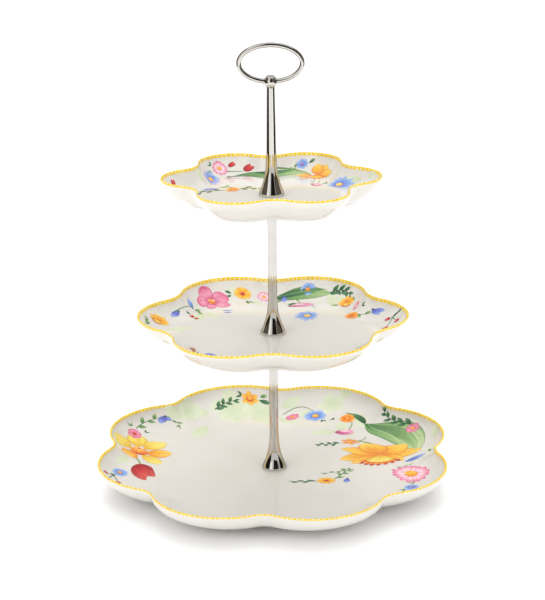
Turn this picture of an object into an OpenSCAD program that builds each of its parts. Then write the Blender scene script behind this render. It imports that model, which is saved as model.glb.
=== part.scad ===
// Tiered cake stand: three scalloped porcelain plates threaded on a metal stem that
// screws together in sections, with an oval ring on top to carry it by.
// The stand rests on the foot of its lowest plate at z = 0, and the stem is the Z axis.

/* [Bottom plate] */
// Radius to the tip of a lobe of the bottom plate
bottom_r = 170; // [140:1:210]
// Number of lobes round the bottom plate
bottom_lobes = 8; // [6, 8, 10]
// Radius of the round end of each lobe of the bottom plate
bottom_lobe_r = 68.5; // [56:0.5:84]
// Radius of the hollow between two lobes of the bottom plate
bottom_notch_r = 21.2; // [14:0.2:34]
// Height of the bottom plate from its foot to its rim
bottom_h = 30; // [24:0.5:40]
// Turn of the bottom plate on the stem, from a hollow at the front
bottom_turn = -3.5; // [-22:0.5:22]

/* [Middle plate] */
// Radius to the tip of a lobe of the middle plate
middle_r = 126; // [104:1:152]
// Number of lobes round the middle plate
middle_lobes = 6; // [6, 8, 10]
// Radius of the round end of each lobe of the middle plate
middle_lobe_r = 53; // [42:0.5:62]
// Radius of the hollow between two lobes of the middle plate
middle_notch_r = 36.4; // [24:0.2:46]
// Height of the middle plate from its foot to its rim
middle_h = 24.7; // [20:0.1:32]
// Turn of the middle plate on the stem, from a hollow at the front
middle_turn = -0.5; // [-30:0.5:30]

/* [Top plate] */
// Radius to the tip of a lobe of the top plate
top_r = 100.5; // [84:0.5:120]
// Number of lobes round the top plate
top_lobes = 6; // [6, 8, 10]
// Radius of the round end of each lobe of the top plate
top_lobe_r = 34.3; // [28:0.1:44]
// Radius of the hollow between two lobes of the top plate
top_notch_r = 23.5; // [16:0.5:34]
// Height of the top plate from its foot to its rim
top_h = 23.5; // [19:0.1:30]
// Turn of the top plate on the stem, from a hollow at the front
top_turn = 1.5; // [-30:0.5:30]

/* [Porcelain] */
// Thickness of the bottom plate's floor
bottom_floor_t = 4.2; // [3.4:0.1:6]
// Height of the foot under the bottom plate, deep enough for the screw head
bottom_foot_h = 4; // [3.8:0.1:6]
// Thickness of the floor of the two upper plates
upper_floor_t = 3.8; // [3:0.1:5.5]
// Height of the foot under the two upper plates
upper_foot_h = 2.2; // [1.4:0.1:4]
// Width of the ring that each plate stands on
foot_w = 6; // [4:0.5:9]
// Thickness of a plate at its lip
lip_t = 2.4; // [1.8:0.1:3.5]
// Diameter of the hole drilled through the middle of each plate
plate_hole_d = 10; // [8:0.5:13]

/* [Stem] */
// Length of the lower stem, from the bottom plate's gasket to the flange on top
lower_stem_len = 130.5; // [100:0.5:170]
// Length of the middle stem, from the middle plate's gasket to the flange on top
middle_stem_len = 127.5; // [100:0.5:170]
// Length of the handle stem, from the top plate's gasket to its upper end
handle_stem_len = 98.7; // [80:0.1:140]
// Diameter of a stem at its slimmest
stem_d = 8.4; // [8.2:0.1:10]
// Diameter of the handle stem at its upper end
handle_tip_d = 7.8; // [7:0.1:9.5]
// Diameter of the bell at the bottom of each stem
bell_d = 23; // [20:0.5:28]
// Height of that bell
bell_h = 38; // [32:1:46]
// Diameter of the flange on top of the lower and middle stems
flange_d = 15; // [12:0.5:18]
// Height over which a stem widens into that flange
flange_h = 34; // [24:1:44]
// Thickness of the bell's lower edge
bell_edge_t = 1.4; // [1:0.1:2]

/* [Screw fittings] */
// Outer diameter of the threaded studs and of the base screw
stud_d = 5; // [4:0.1:6]
// Outer diameter of the threaded bush inside each bell
bush_d = 8.4; // [8:0.1:9]
// Length of the threaded bush
bush_len = 11; // [8:0.5:14]
// Height of the bush's lower face above the bell's edge
bush_recess = 2; // [1:0.5:3]
// Length of stud that is held in the top of a stem
stud_grip = 12; // [8:0.5:18]
// Diameter of the base screw's flat head
screw_head_d = 16; // [13:0.5:20]
// Thickness of the base screw's head
screw_head_t = 1.7; // [1.4:0.1:2]
// Width of the coin slot across that head
screw_slot_w = 1.6; // [1.2:0.1:2]
// Diameter of the metal washer under the bottom plate
washer_d = 21; // [20.5:0.5:28]
// Thickness of the metal washer
washer_t = 0.8; // [0.6:0.1:1]
// Thickness of the soft gaskets above and below each plate
gasket_t = 0.5; // [0.4:0.1:0.8]

/* [Ring handle] */
// Overall width of the oval ring
ring_w = 61; // [50:1:76]
// Overall height of the oval ring
ring_h = 37.4; // [32:0.2:46]
// Diameter of the ring's wire
wire_d = 4.7; // [3.6:0.1:5.6]
// Diameter of the ball that joins the ring to the stem
ball_d = 12.2; // [11:0.1:15]

/* [Fits] */
// Gap all round between a stud and the threaded bush that turns on it
thread_clearance = 0.07; // [0.03:0.01:0.1]
// Gap all round between pieces that are pressed or brazed into each other
press_clearance = 0.02; // [0.01:0.01:0.04]
// Gap all round between a stud and the hole of a washer or gasket
washer_clearance = 0.5; // [0.35:0.05:0.8]
// How far a gasket's edge stays inside the piece that presses on it
gasket_margin = 0.7; // [0.4:0.1:1.2]

/* [Hidden] */
$fn = 64;
eps = 0.5;
hair = 0.01;

porcelain = [0.95, 0.94, 0.91];
chrome = [0.80, 0.79, 0.77];
brass = [0.78, 0.66, 0.36];
soft_white = [0.90, 0.90, 0.88];

// How each plate's wall runs: radius of the foot and of the floor as shares of the rim's,
// share of the scallop that the foot has, and the bends at the wall's root and its top
bottom_wall = [0.64, 0.70, 0.80, 2.05, 2.0];
middle_wall = [0.766, 0.78, 1.0, 1.43, 1.54];
top_wall = [0.785, 0.79, 0.90, 1.45, 1.5];
// The flat on top of the lip, as the share of its thickness that is rounded away each side
lip_round = 0.28;
// The foot ring: slope inside it, bevel outside it, and where that bevel meets the wall
foot_slope = 0.3;
foot_bevel = 0.1;
foot_bevel_top = 0.6;

// Curves of the bell and of the flange: how far their ends are pulled, as shares of the
// bell's or the flange's radius and height
bell_pull = [0.72, 0.25, 0.42];
flange_pull = [0.72, 0.20, 0.45];
flange_edge_t = 1;
// Share of the bell's height that is hollow below the bush
skirt_share = 0.22;
// How much wider the handle stem is than the others, above its bell
handle_shoulder = 1.4;

// Ends of the studs and of the screw: clear of the bush's end, and bevelled
stud_short = 1;
stud_tip_h = 1;
stud_tip_bevel = 0.6;
// The screw's head: bevel of its lower edge, and depth of its slot as a share
head_bevel = 0.7;
head_bevel_h = 0.6;
slot_share = 0.45;
head_bite = 0.1;

// Heights up the stem, each from the piece below it
bottom_floor_z = bottom_foot_h + bottom_floor_t;
lower_stem_z = bottom_floor_z + gasket_t;
lower_flange_z = lower_stem_z + lower_stem_len;
middle_under_z = lower_flange_z + gasket_t;
middle_floor_z = middle_under_z + upper_floor_t;
middle_stem_z = middle_floor_z + gasket_t;
middle_flange_z = middle_stem_z + middle_stem_len;
top_under_z = middle_flange_z + gasket_t;
top_floor_z = top_under_z + upper_floor_t;
handle_stem_z = top_floor_z + gasket_t;
handle_tip_z = handle_stem_z + handle_stem_len;

stud_r = stud_d / 2;
bush_bore_r = stud_r + thread_clearance;
stem_bore_r = stud_r + press_clearance;
bush_seat_r = bush_d / 2 + press_clearance;
washer_hole_r = stud_r + washer_clearance;
bush_top = bush_recess + bush_len;
stud_reach = gasket_t + upper_floor_t + gasket_t + bush_top - stud_short;

// The ball sits in the stem's cupped end and sinks into it a little
ball_sink = 0.2;
ball_r = ball_d / 2;
tip_r = handle_tip_d / 2;
ball_z = handle_tip_z + sqrt(ball_r * ball_r - tip_r * tip_r) - ball_sink;
spigot_len = 6;

// The ring is an oval wire whose lowest point runs through the middle of the ball
wire_r = wire_d / 2;
oval_a = (ring_w - wire_d) / 2;
oval_b = (ring_h - wire_d) / 2;
low_bend_r = oval_a * oval_a / oval_b;
ring_z = ball_z + oval_b;

// Steps of each plate's mesh: round one lobe, and up one face of the wall
lobe_steps = 12;
wall_steps = 5;
// Steps of the ring's mesh: along the wire, and round it
ring_steps = 72;
wire_steps = 14;

// ---- Scalloped outline ----

// Distance from the centre to a scalloped edge: a round lobe, then the hollow beside it.
// The angle a is measured from the middle of a hollow.
function scallop_r(a, r, lobes, lobe_r, notch_r) =
    let (
        step = 360 / lobes,
        m = ((a % step) + step) % step,
        from_notch = min(m, step - m),
        from_lobe = step / 2 - from_notch,
        d = r - lobe_r,
        reach = lobe_r + notch_r,
        e = d * cos(step / 2) + sqrt(reach * reach - pow(d * sin(step / 2), 2)),
        lx = d * cos(step / 2),
        ly = d * sin(step / 2),
        k = lobe_r / reach,
        join = atan2(ly - ly * k, lx + (e - lx) * k)
    )
    from_notch < join
        ? e * cos(from_notch) - sqrt(notch_r * notch_r - pow(e * sin(from_notch), 2))
        : d * cos(from_lobe) + sqrt(lobe_r * lobe_r - pow(d * sin(from_lobe), 2));

// Mean radius of that edge, for the rounder outline near the foot
function mean_r(r, lobes, lobe_r, notch_r) =
    let (n = 24)
    sum([for (i = [0:n - 1]) scallop_r(i * 360 / lobes / n, r, lobes, lobe_r, notch_r)]) / n;
function sum(v, i = 0) = i < len(v) ? v[i] + sum(v, i + 1) : 0;

// Rise of a plate's wall, 0 at its root to 1 at the rim, steepening outwards
function rise(u, m, n) = 1 - pow(1 - pow(u, m), 1 / n);

// Rings up a plate's skin as [scale, share of scallop, height]: out along the foot, up
// the outside, over the lip and down the inside to the floor
function skin(r, h, foot_h, floor_t, wall) =
    let (
        foot_k = wall[0],
        floor_k = wall[1],
        foot_mix = wall[2],
        m = wall[3],
        n = wall[4],
        lip_k = lip_t / r,
        ring_k = foot_w / r,
        wall_top = h - lip_t / 2,
        floor_top = foot_h + floor_t,
        inner_k = 1 - lip_k
    )
    concat(
        [
            [foot_k - ring_k * (1 + foot_slope), foot_mix, foot_h],
            [foot_k - ring_k, foot_mix, 0],
            [foot_k - ring_k * foot_bevel, foot_mix, 0],
            [foot_k, foot_mix, foot_h * foot_bevel_top]
        ],
        [
            for (i = [1:wall_steps])
                let (u = i / wall_steps, k = foot_k + (1 - foot_k) * u)
                [k, foot_mix + (1 - foot_mix) * u, foot_h + (wall_top - foot_h) * rise(u, m, n)]
        ],
        [[1 - lip_k * lip_round, 1, h], [1 - lip_k * (1 - lip_round), 1, h]],
        [
            for (i = [wall_steps:-1:0])
                let (u = i / wall_steps, k = floor_k + (inner_k - floor_k) * u)
                [k, foot_mix + (1 - foot_mix) * u, floor_top + (wall_top - floor_top) * rise(u, m, n)]
        ]
    );

// One plate, its foot at z = 0 and its hole drilled on the axis
module plate(r, lobes, lobe_r, notch_r, turn, h, foot_h, floor_t, wall) {
    rings = skin(r, h, foot_h, floor_t, wall);
    mean = mean_r(r, lobes, lobe_r, notch_r);
    around = lobes * lobe_steps;
    last = len(rings) - 1;
    points = [
        for (ring = rings, j = [0:around - 1])
            let (
                a = j * 360 / around,
                edge = scallop_r(a, r, lobes, lobe_r, notch_r),
                radius = ring[0] * (ring[1] * edge + (1 - ring[1]) * mean)
            )
            [radius * sin(a + turn), -radius * cos(a + turn), ring[2]]
    ];
    walls = [
        for (i = [0:last - 1], j = [0:around - 1])
            let (
                k = (j + 1) % around,
                a = i * around + j,
                b = i * around + k,
                c = (i + 1) * around + k,
                d = (i + 1) * around + j
            )
            each [[a, d, c], [a, c, b]]
    ];
    underside = [for (j = [0:around - 1]) j];
    floor_face = [for (j = [around - 1:-1:0]) last * around + j];
    difference() {
        polyhedron(points, concat([underside], walls, [floor_face]), convexity = 4);
        translate([0, 0, -eps])
            cylinder(d = plate_hole_d, h = h + 2 * eps);
    }
}

module bottom_plate() {
    color(porcelain)
        plate(bottom_r, bottom_lobes, bottom_lobe_r, bottom_notch_r, bottom_turn, bottom_h,
              bottom_foot_h, bottom_floor_t, bottom_wall);
}

module middle_plate() {
    color(porcelain)
        translate([0, 0, middle_under_z - upper_foot_h])
            plate(middle_r, middle_lobes, middle_lobe_r, middle_notch_r, middle_turn, middle_h,
                  upper_foot_h, upper_floor_t, middle_wall);
}

module top_plate() {
    color(porcelain)
        translate([0, 0, top_under_z - upper_foot_h])
            plate(top_r, top_lobes, top_lobe_r, top_notch_r, top_turn, top_h,
                  upper_foot_h, upper_floor_t, top_wall);
}

// ---- Stem sections ----

// Point at t on a smooth curve from p0 to p3
function curve(p0, p1, p2, p3, t) =
    pow(1 - t, 3) * p0 + 3 * t * pow(1 - t, 2) * p1 + 3 * t * t * (1 - t) * p2 + t * t * t * p3;

// Outline of a bell as [radius, height], from its wide edge up to the slim tube
function bell_outline(tube_r) =
    let (
        steps = 9,
        edge = [bell_d / 2, bell_edge_t],
        low = [bell_d / 2 * bell_pull[0], bell_h * bell_pull[1]],
        high = [tube_r, bell_h * bell_pull[2]],
        top = [tube_r, bell_h]
    )
    concat([[bell_d / 2, 0]], [for (i = [0:steps]) curve(edge, low, high, top, i / steps)]);

// Outline of the flange under a plate, from the slim tube up to its flat top
function flange_outline(length) =
    let (
        steps = 6,
        foot = [stem_d / 2, length - flange_h],
        low = [stem_d / 2, length - flange_h * flange_pull[2]],
        high = [flange_d / 2 * flange_pull[0], length - flange_h * flange_pull[1]],
        top = [flange_d / 2, length - flange_edge_t]
    )
    concat([for (i = [0:steps]) curve(foot, low, high, top, i / steps)], [[flange_d / 2, length]]);

// The hollow inside every stem: skirt of the bell, seat of the bush, then a plain bore
module stem_hollow(length) {
    skirt_r = bell_d / 2 - bell_edge_t;
    translate([0, 0, -eps])
        cylinder(r = stem_bore_r, h = length + 2 * eps);
    translate([0, 0, -eps])
        cylinder(r = bush_seat_r, h = bush_top + eps);
    translate([0, 0, -hair])
        cylinder(r1 = skirt_r, r2 = bush_seat_r, h = bell_h * skirt_share);
}

module stem_with_flange(length) {
    difference() {
        rotate_extrude()
            polygon(concat([[0, 0]], bell_outline(stem_d / 2), flange_outline(length), [[0, length]]));
        stem_hollow(length);
    }
}

module lower_stem() {
    color(chrome)
        translate([0, 0, lower_stem_z])
            stem_with_flange(lower_stem_len);
}

module middle_stem() {
    color(chrome)
        translate([0, 0, middle_stem_z])
            stem_with_flange(middle_stem_len);
}

module handle_stem() {
    shoulder_r = (stem_d + handle_shoulder) / 2;
    color(chrome)
        difference() {
            translate([0, 0, handle_stem_z])
                difference() {
                    rotate_extrude()
                        polygon(concat([[0, 0]], bell_outline(shoulder_r),
                                       [[tip_r, handle_stem_len], [0, handle_stem_len]]));
                    stem_hollow(handle_stem_len);
                }
            translate([0, 0, ball_z])
                sphere(r = ball_r + press_clearance);
        }
}

// ---- Bushes, studs and the base screw ----

module bush(stem_z) {
    color(brass)
        translate([0, 0, stem_z + bush_recess])
            difference() {
                cylinder(d = bush_d, h = bush_len);
                translate([0, 0, -eps])
                    cylinder(r = bush_bore_r, h = bush_len + 2 * eps);
            }
}

module lower_bush() { bush(lower_stem_z); }
module middle_bush() { bush(middle_stem_z); }
module handle_bush() { bush(handle_stem_z); }

// A stud held in a stem's top, reaching through the plate into the next bush
module stud(flange_z) {
    straight = stud_grip + stud_reach - stud_tip_h;
    color(brass)
        translate([0, 0, flange_z - stud_grip]) {
            cylinder(r = stud_r, h = straight);
            translate([0, 0, straight])
                cylinder(r1 = stud_r, r2 = stud_r - stud_tip_bevel, h = stud_tip_h);
        }
}

module lower_stud() { stud(lower_flange_z); }
module middle_stud() { stud(middle_flange_z); }

// The screw that draws the lower stem down on the bottom plate
module base_screw() {
    seat_z = bottom_foot_h - gasket_t - washer_t;
    head_z = seat_z - screw_head_t;
    shank_len = lower_stem_z + bush_top - stud_short - seat_z;
    slot_depth = screw_head_t * slot_share;
    color(chrome)
        difference() {
            union() {
                translate([0, 0, head_z])
                    cylinder(d1 = screw_head_d - 2 * head_bevel, d2 = screw_head_d, h = head_bevel_h);
                translate([0, 0, head_z + head_bevel_h])
                    cylinder(d = screw_head_d, h = screw_head_t - head_bevel_h);
                translate([0, 0, seat_z - head_bite])
                    cylinder(r = stud_r, h = shank_len + head_bite);
            }
            translate([-screw_head_d / 2 - eps, -screw_slot_w / 2, head_z - eps])
                cube([screw_head_d + 2 * eps, screw_slot_w, slot_depth + eps]);
        }
}

// ---- Washer and gaskets ----

module flat_ring(d, hole_r, t, z) {
    translate([0, 0, z])
        difference() {
            cylinder(d = d, h = t);
            translate([0, 0, -eps])
                cylinder(r = hole_r, h = t + 2 * eps);
        }
}

module base_washer() {
    color(chrome)
        flat_ring(washer_d, washer_hole_r, washer_t, bottom_foot_h - gasket_t - washer_t);
}

// Gasket on a plate's floor, pressed by the bell above it
module upper_gasket(floor_z) {
    color(soft_white)
        flat_ring(bell_d - 2 * gasket_margin, washer_hole_r, gasket_t, floor_z);
}

// Gasket under a plate, pressed by what holds the plate up
module lower_gasket(under_z, seat_d) {
    color(soft_white)
        flat_ring(seat_d - 2 * gasket_margin, washer_hole_r, gasket_t, under_z - gasket_t);
}

module bottom_upper_gasket() { upper_gasket(bottom_floor_z); }
module middle_upper_gasket() { upper_gasket(middle_floor_z); }
module top_upper_gasket() { upper_gasket(top_floor_z); }
module bottom_lower_gasket() { lower_gasket(bottom_foot_h, washer_d); }
module middle_lower_gasket() { lower_gasket(middle_under_z, flange_d); }
module top_lower_gasket() { lower_gasket(top_under_z, flange_d); }

// ---- Ring handle ----

// The oval stands in the XZ plane; a is the angle along it and b the angle round the wire
function ring_point(a, b) =
    let (
        out = [oval_b * cos(a), oval_a * sin(a)],
        n = out / norm(out),
        reach = wire_r * cos(b)
    )
    [oval_a * cos(a) + n[0] * reach, wire_r * sin(b), ring_z + oval_b * sin(a) + n[1] * reach];

module handle_ring() {
    points = [
        for (i = [0:ring_steps - 1], j = [0:wire_steps - 1])
            ring_point(i * 360 / ring_steps, j * 360 / wire_steps)
    ];
    faces = [
        for (i = [0:ring_steps - 1], j = [0:wire_steps - 1])
            let (
                i2 = (i + 1) % ring_steps,
                j2 = (j + 1) % wire_steps,
                p = i * wire_steps + j,
                q = i2 * wire_steps + j,
                r = i2 * wire_steps + j2,
                s = i * wire_steps + j2
            )
            each [[p, q, r], [p, r, s]]
    ];
    color(chrome)
        polyhedron(points, faces, convexity = 6);
}

// The ball is drilled for the ring's wire and has a spigot down into the handle stem
module handle_ball() {
    color(chrome)
        difference() {
            union() {
                translate([0, 0, ball_z])
                    sphere(r = ball_r);
                translate([0, 0, handle_tip_z - spigot_len])
                    cylinder(r = stud_r, h = spigot_len);
            }
            translate([0, 0, ball_z + low_bend_r])
                rotate([90, 0, 0])
                    rotate([0, 0, -120])
                        rotate_extrude(angle = 60)
                            translate([low_bend_r, 0])
                                circle(r = wire_r + press_clearance);
        }
}

bottom_plate();
middle_plate();
top_plate();
lower_stem();
middle_stem();
handle_stem();
lower_bush();
middle_bush();
handle_bush();
lower_stud();
middle_stud();
base_screw();
base_washer();
bottom_upper_gasket();
bottom_lower_gasket();
middle_upper_gasket();
middle_lower_gasket();
top_upper_gasket();
top_lower_gasket();
handle_ball();
handle_ring();
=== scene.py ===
# %% [markdown]
# # A tiered cake stand
# Three scalloped porcelain plates sit on a polished metal stem that screws together in
# sections, with an oval ring on top. The engineering model gives the places, the sizes and
# the joints. This lesson builds the looks round it: smooth thin plates, lathe-turned metal,
# a yellow painted rim and spring flowers painted under the glaze.

# %% Load the frame
import math
import random

import bmesh
import bpy
from mathutils import Matrix, Quaternion, Vector


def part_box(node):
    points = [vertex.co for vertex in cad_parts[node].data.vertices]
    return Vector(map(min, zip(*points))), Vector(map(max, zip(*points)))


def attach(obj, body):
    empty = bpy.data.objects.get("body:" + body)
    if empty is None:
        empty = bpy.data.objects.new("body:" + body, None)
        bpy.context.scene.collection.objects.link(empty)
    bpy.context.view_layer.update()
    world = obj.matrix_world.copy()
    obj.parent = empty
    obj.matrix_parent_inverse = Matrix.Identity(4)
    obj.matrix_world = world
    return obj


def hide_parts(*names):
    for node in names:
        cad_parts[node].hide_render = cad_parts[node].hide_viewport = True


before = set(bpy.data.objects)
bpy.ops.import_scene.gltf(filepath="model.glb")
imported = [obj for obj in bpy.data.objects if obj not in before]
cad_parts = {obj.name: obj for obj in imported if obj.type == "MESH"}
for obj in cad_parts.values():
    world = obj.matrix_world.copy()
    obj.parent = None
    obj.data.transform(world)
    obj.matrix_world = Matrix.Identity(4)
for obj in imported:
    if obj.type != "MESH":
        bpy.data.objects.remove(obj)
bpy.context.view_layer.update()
mm = 0.001

# %% [markdown]
# ## Small helpers
# Every new piece is a bmesh that becomes an object at the origin. Edges that bend more than
# a given angle are marked sharp, so smooth shading stays clean on thin pieces.

# %% From bmesh to object
def make_piece(bm, name, body, materials, sharp_deg=35.0):
    """A finished object from a bmesh, smooth except at its sharp edges, riding on a body."""
    bmesh.ops.recalc_face_normals(bm, faces=bm.faces[:])
    limit = math.radians(sharp_deg)
    for face in bm.faces:
        face.smooth = True
    for edge in bm.edges:
        edge.smooth = len(edge.link_faces) == 2 and edge.calc_face_angle(0.0) < limit
    mesh = bpy.data.meshes.new(name)
    bm.to_mesh(mesh)
    bm.free()
    piece = bpy.data.objects.new(name, mesh)
    bpy.context.scene.collection.objects.link(piece)
    for material in materials:
        mesh.materials.append(material)
    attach(piece, body)
    return piece


def spin_round(bm, steps):
    """Spin everything drawn so far once about the Z axis, and close the seam."""
    bmesh.ops.spin(bm, geom=bm.verts[:] + bm.edges[:], cent=(0, 0, 0), axis=(0, 0, 1),
                   dvec=(0, 0, 0), angle=math.tau, steps=steps, use_merge=True,
                   use_duplicate=False)
    bmesh.ops.remove_doubles(bm, verts=bm.verts[:], dist=1e-7)


def lathe(outline, steps=96):
    """A closed outline of (radius, height) turned into a solid."""
    bm = bmesh.new()
    verts = [bm.verts.new((r, 0.0, z)) for r, z in outline]
    for pair in zip(verts, verts[1:] + verts[:1]):
        bm.edges.new(pair)
    spin_round(bm, steps)
    return bm


def curve(p0, p1, p2, p3, steps):
    """Points along a smooth curve from p0 to p3, both ends included."""
    points = []
    for i in range(steps + 1):
        t = i / steps
        w = ((1 - t) ** 3, 3 * t * (1 - t) ** 2, 3 * t * t * (1 - t), t ** 3)
        points.append(tuple(sum(k * p[axis] for k, p in zip(w, (p0, p1, p2, p3)))
                            for axis in (0, 1)))
    return points

# %% [markdown]
# ## Materials
# Each finish starts from a Principled shader. What varies over the surface, such as colour,
# gloss and small bumps, comes from noise on object coordinates; what is the same all over
# is set on the shader's own socket.

# %% Node helpers
class Finish:
    """A material with short ways to add the nodes that this lesson uses."""

    def __init__(self, name, **sockets):
        self.material = bpy.data.materials.new(name)
        self.material.use_nodes = True
        self.tree = self.material.node_tree
        self.shader = self.tree.nodes["Principled BSDF"]
        for socket, value in sockets.items():
            self.shader.inputs[socket.replace("_", " ")].default_value = value
        self.place = self.add("ShaderNodeTexCoord").outputs["Object"]

    def add(self, kind, **settings):
        node = self.tree.nodes.new(kind)
        for key, value in settings.items():
            setattr(node, key, value)
        return node

    def link(self, source, target):
        self.tree.links.new(source, target)

    def noise(self, scale, detail=2.0, roughness=0.5, vector=None):
        node = self.add("ShaderNodeTexNoise")
        node.inputs["Scale"].default_value = scale
        node.inputs["Detail"].default_value = detail
        node.inputs["Roughness"].default_value = roughness
        self.link(vector or self.place, node.inputs["Vector"])
        return node.outputs["Fac"]

    def math(self, operation, a, b=0.0, clamp=False):
        node = self.add("ShaderNodeMath", operation=operation, use_clamp=clamp)
        for socket, value in zip(node.inputs, (a, b)):
            if isinstance(value, (int, float)):
                socket.default_value = value
            else:
                self.link(value, socket)
        return node.outputs[0]

    def spread(self, source, low, high, to_low, to_high):
        node = self.add("ShaderNodeMapRange")
        self.link(source, node.inputs["Value"])
        for key, value in (("From Min", low), ("From Max", high),
                           ("To Min", to_low), ("To Max", to_high)):
            node.inputs[key].default_value = value
        return node.outputs["Result"]

    def ramp(self, source, stops):
        node = self.add("ShaderNodeValToRGB")
        elements = node.color_ramp.elements
        while len(elements) < len(stops):
            elements.new(0.5)
        for element, (position, colour) in zip(elements, stops):
            element.position = position
            element.color = (*colour, 1.0)
        self.link(source, node.inputs["Fac"])
        return node.outputs["Color"]

    def mix_colours(self, factor, a, b):
        node = self.add("ShaderNodeMix", data_type="RGBA")
        factor_in, a_in, b_in, colour_out = 0, 6, 7, 2
        for index, value in ((factor_in, factor), (a_in, a), (b_in, b)):
            if isinstance(value, tuple):
                node.inputs[index].default_value = (*value, 1.0)
            else:
                self.link(value, node.inputs[index])
        return node.outputs[colour_out]

    def bump(self, source, height, strength):
        node = self.add("ShaderNodeBump")
        node.inputs["Distance"].default_value = height
        node.inputs["Strength"].default_value = strength
        self.link(source, node.inputs["Height"])
        self.link(node.outputs["Normal"], self.shader.inputs["Normal"])

    def colour(self, source):
        self.link(source, self.shader.inputs["Base Color"])

    def gloss(self, source):
        self.link(source, self.shader.inputs["Roughness"])

# %% [markdown]
# Porcelain is a warm white body under a clear glaze. The glaze is mirror smooth with a very
# slight ripple, and it stops short of the foot ring, where the bare body is matt. A point
# attribute, bare, marks that ring on each plate.

# %% Colours
def tint(red, green, blue):
    """A colour mixed on a 0 to 255 scale, as the linear values that shaders use."""
    return tuple(v / 255 / 12.92 if v <= 10 else ((v / 255 + 0.055) / 1.055) ** 2.4
                 for v in (red, green, blue))

# %% Porcelain and the painted rim
def porcelain_finish():
    f = Finish("glazed_porcelain", Roughness=0.08, IOR=1.5, Coat_Weight=0.35, Coat_Roughness=0.03)
    cloud = f.noise(14.0, 3.0)
    glaze = f.ramp(cloud, [(0.35, (0.700, 0.672, 0.620)), (0.65, (0.728, 0.702, 0.652))])
    fine = f.noise(900.0, 2.0)
    body = f.ramp(fine, [(0.3, (0.62, 0.59, 0.53)), (0.7, (0.70, 0.67, 0.61))])
    bare = f.add("ShaderNodeAttribute", attribute_name="bare").outputs["Fac"]
    f.colour(f.mix_colours(bare, glaze, body))
    smooth = f.spread(cloud, 0.3, 0.7, 0.07, 0.11)
    f.gloss(f.math("ADD", smooth, f.math("MULTIPLY", bare, 0.5), clamp=True))
    f.bump(f.noise(55.0, 2.0), 0.00012, 0.35)
    return f.material


def rim_finish():
    f = Finish("rim_yellow", Roughness=0.12, IOR=1.5, Coat_Weight=0.5, Coat_Roughness=0.04)
    brush = f.noise(160.0, 4.0)
    f.colour(f.ramp(brush, [(0.30, tint(232, 188, 30)), (0.55, tint(242, 206, 44)),
                            (0.78, tint(250, 222, 84))]))
    f.gloss(f.spread(brush, 0.3, 0.7, 0.08, 0.16))
    f.bump(f.noise(400.0, 2.0), 0.00003, 0.4)
    return f.material


def dot_finish():
    f = Finish("rim_dot_white", Roughness=0.12, IOR=1.5, Coat_Weight=0.5)
    f.colour(f.ramp(f.noise(700.0, 2.0), [(0.3, (0.88, 0.86, 0.78)), (0.7, (0.93, 0.92, 0.87))]))
    return f.material


porcelain = porcelain_finish()
rim_yellow = rim_finish()
rim_dot = dot_finish()
print("porcelain and rim finishes made")

# %% [markdown]
# The metal is polished and plated. Its colour hardly varies, but fine polishing lines and
# faint finger smudges change the gloss a little, which keeps it from looking like a mirror.

# %% Metals and gaskets
def lathe_lines(f, across, along):
    """Fine lines round the axis: noise that is stretched sideways and squeezed upwards."""
    stretch = f.add("ShaderNodeMapping")
    stretch.inputs["Scale"].default_value = (across, across, along)
    f.link(f.place, stretch.inputs["Vector"])
    return f.noise(1.0, 3.0, 0.6, stretch.outputs["Vector"])


def polished_finish():
    f = Finish("polished_plate", Metallic=1.0, Roughness=0.06, IOR=1.9)
    f.shader.inputs["Specular Tint"].default_value = (0.62, 0.58, 0.54, 1.0)
    smudge = f.noise(60.0, 4.0, 0.6)
    f.colour(f.ramp(smudge, [(0.3, (0.585, 0.562, 0.53)), (0.7, (0.645, 0.622, 0.59))]))
    lines = lathe_lines(f, 60.0, 2400.0)
    smooth = f.spread(smudge, 0.35, 0.75, 0.035, 0.085)
    f.gloss(f.math("ADD", smooth, f.math("MULTIPLY", lines, 0.03)))
    f.bump(lines, 0.000004, 0.3)
    return f.material


def turned_finish(name, dark, light, rough_low, rough_high):
    f = Finish(name, Metallic=1.0, Roughness=0.3)
    lines = lathe_lines(f, 90.0, 5000.0)
    f.colour(f.ramp(lines, [(0.3, dark), (0.7, light)]))
    f.gloss(f.spread(lines, 0.3, 0.7, rough_low, rough_high))
    f.bump(lines, 0.00001, 0.4)
    return f.material


def gasket_finish():
    f = Finish("soft_gasket", Roughness=0.45, IOR=1.45)
    f.shader.inputs["Subsurface Weight"].default_value = 0.2
    f.shader.inputs["Subsurface Scale"].default_value = 0.001
    f.colour(f.ramp(f.noise(500.0, 3.0), [(0.3, (0.70, 0.69, 0.66)), (0.7, (0.80, 0.79, 0.76))]))
    f.gloss(f.spread(f.noise(900.0, 2.0), 0.3, 0.7, 0.38, 0.55))
    f.bump(f.noise(2500.0, 2.0), 0.00002, 0.5)
    return f.material


polished = polished_finish()
turned_brass = turned_finish("turned_brass", (0.55, 0.38, 0.14), (0.74, 0.55, 0.24), 0.20, 0.34)
plated_steel = turned_finish("plated_steel", (0.50, 0.50, 0.49), (0.68, 0.68, 0.67), 0.22, 0.36)
soft_gasket = gasket_finish()
print("metals and gasket finishes made")

# %% [markdown]
# ## Shape of a plate
# The edge is a ring of round lobes joined by smaller hollows. Each arc runs smoothly into
# the next, so the edge is a closed formula in the angle. Inwards from the rim the scallop
# fades, because the foot is rounder than the rim.

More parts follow.
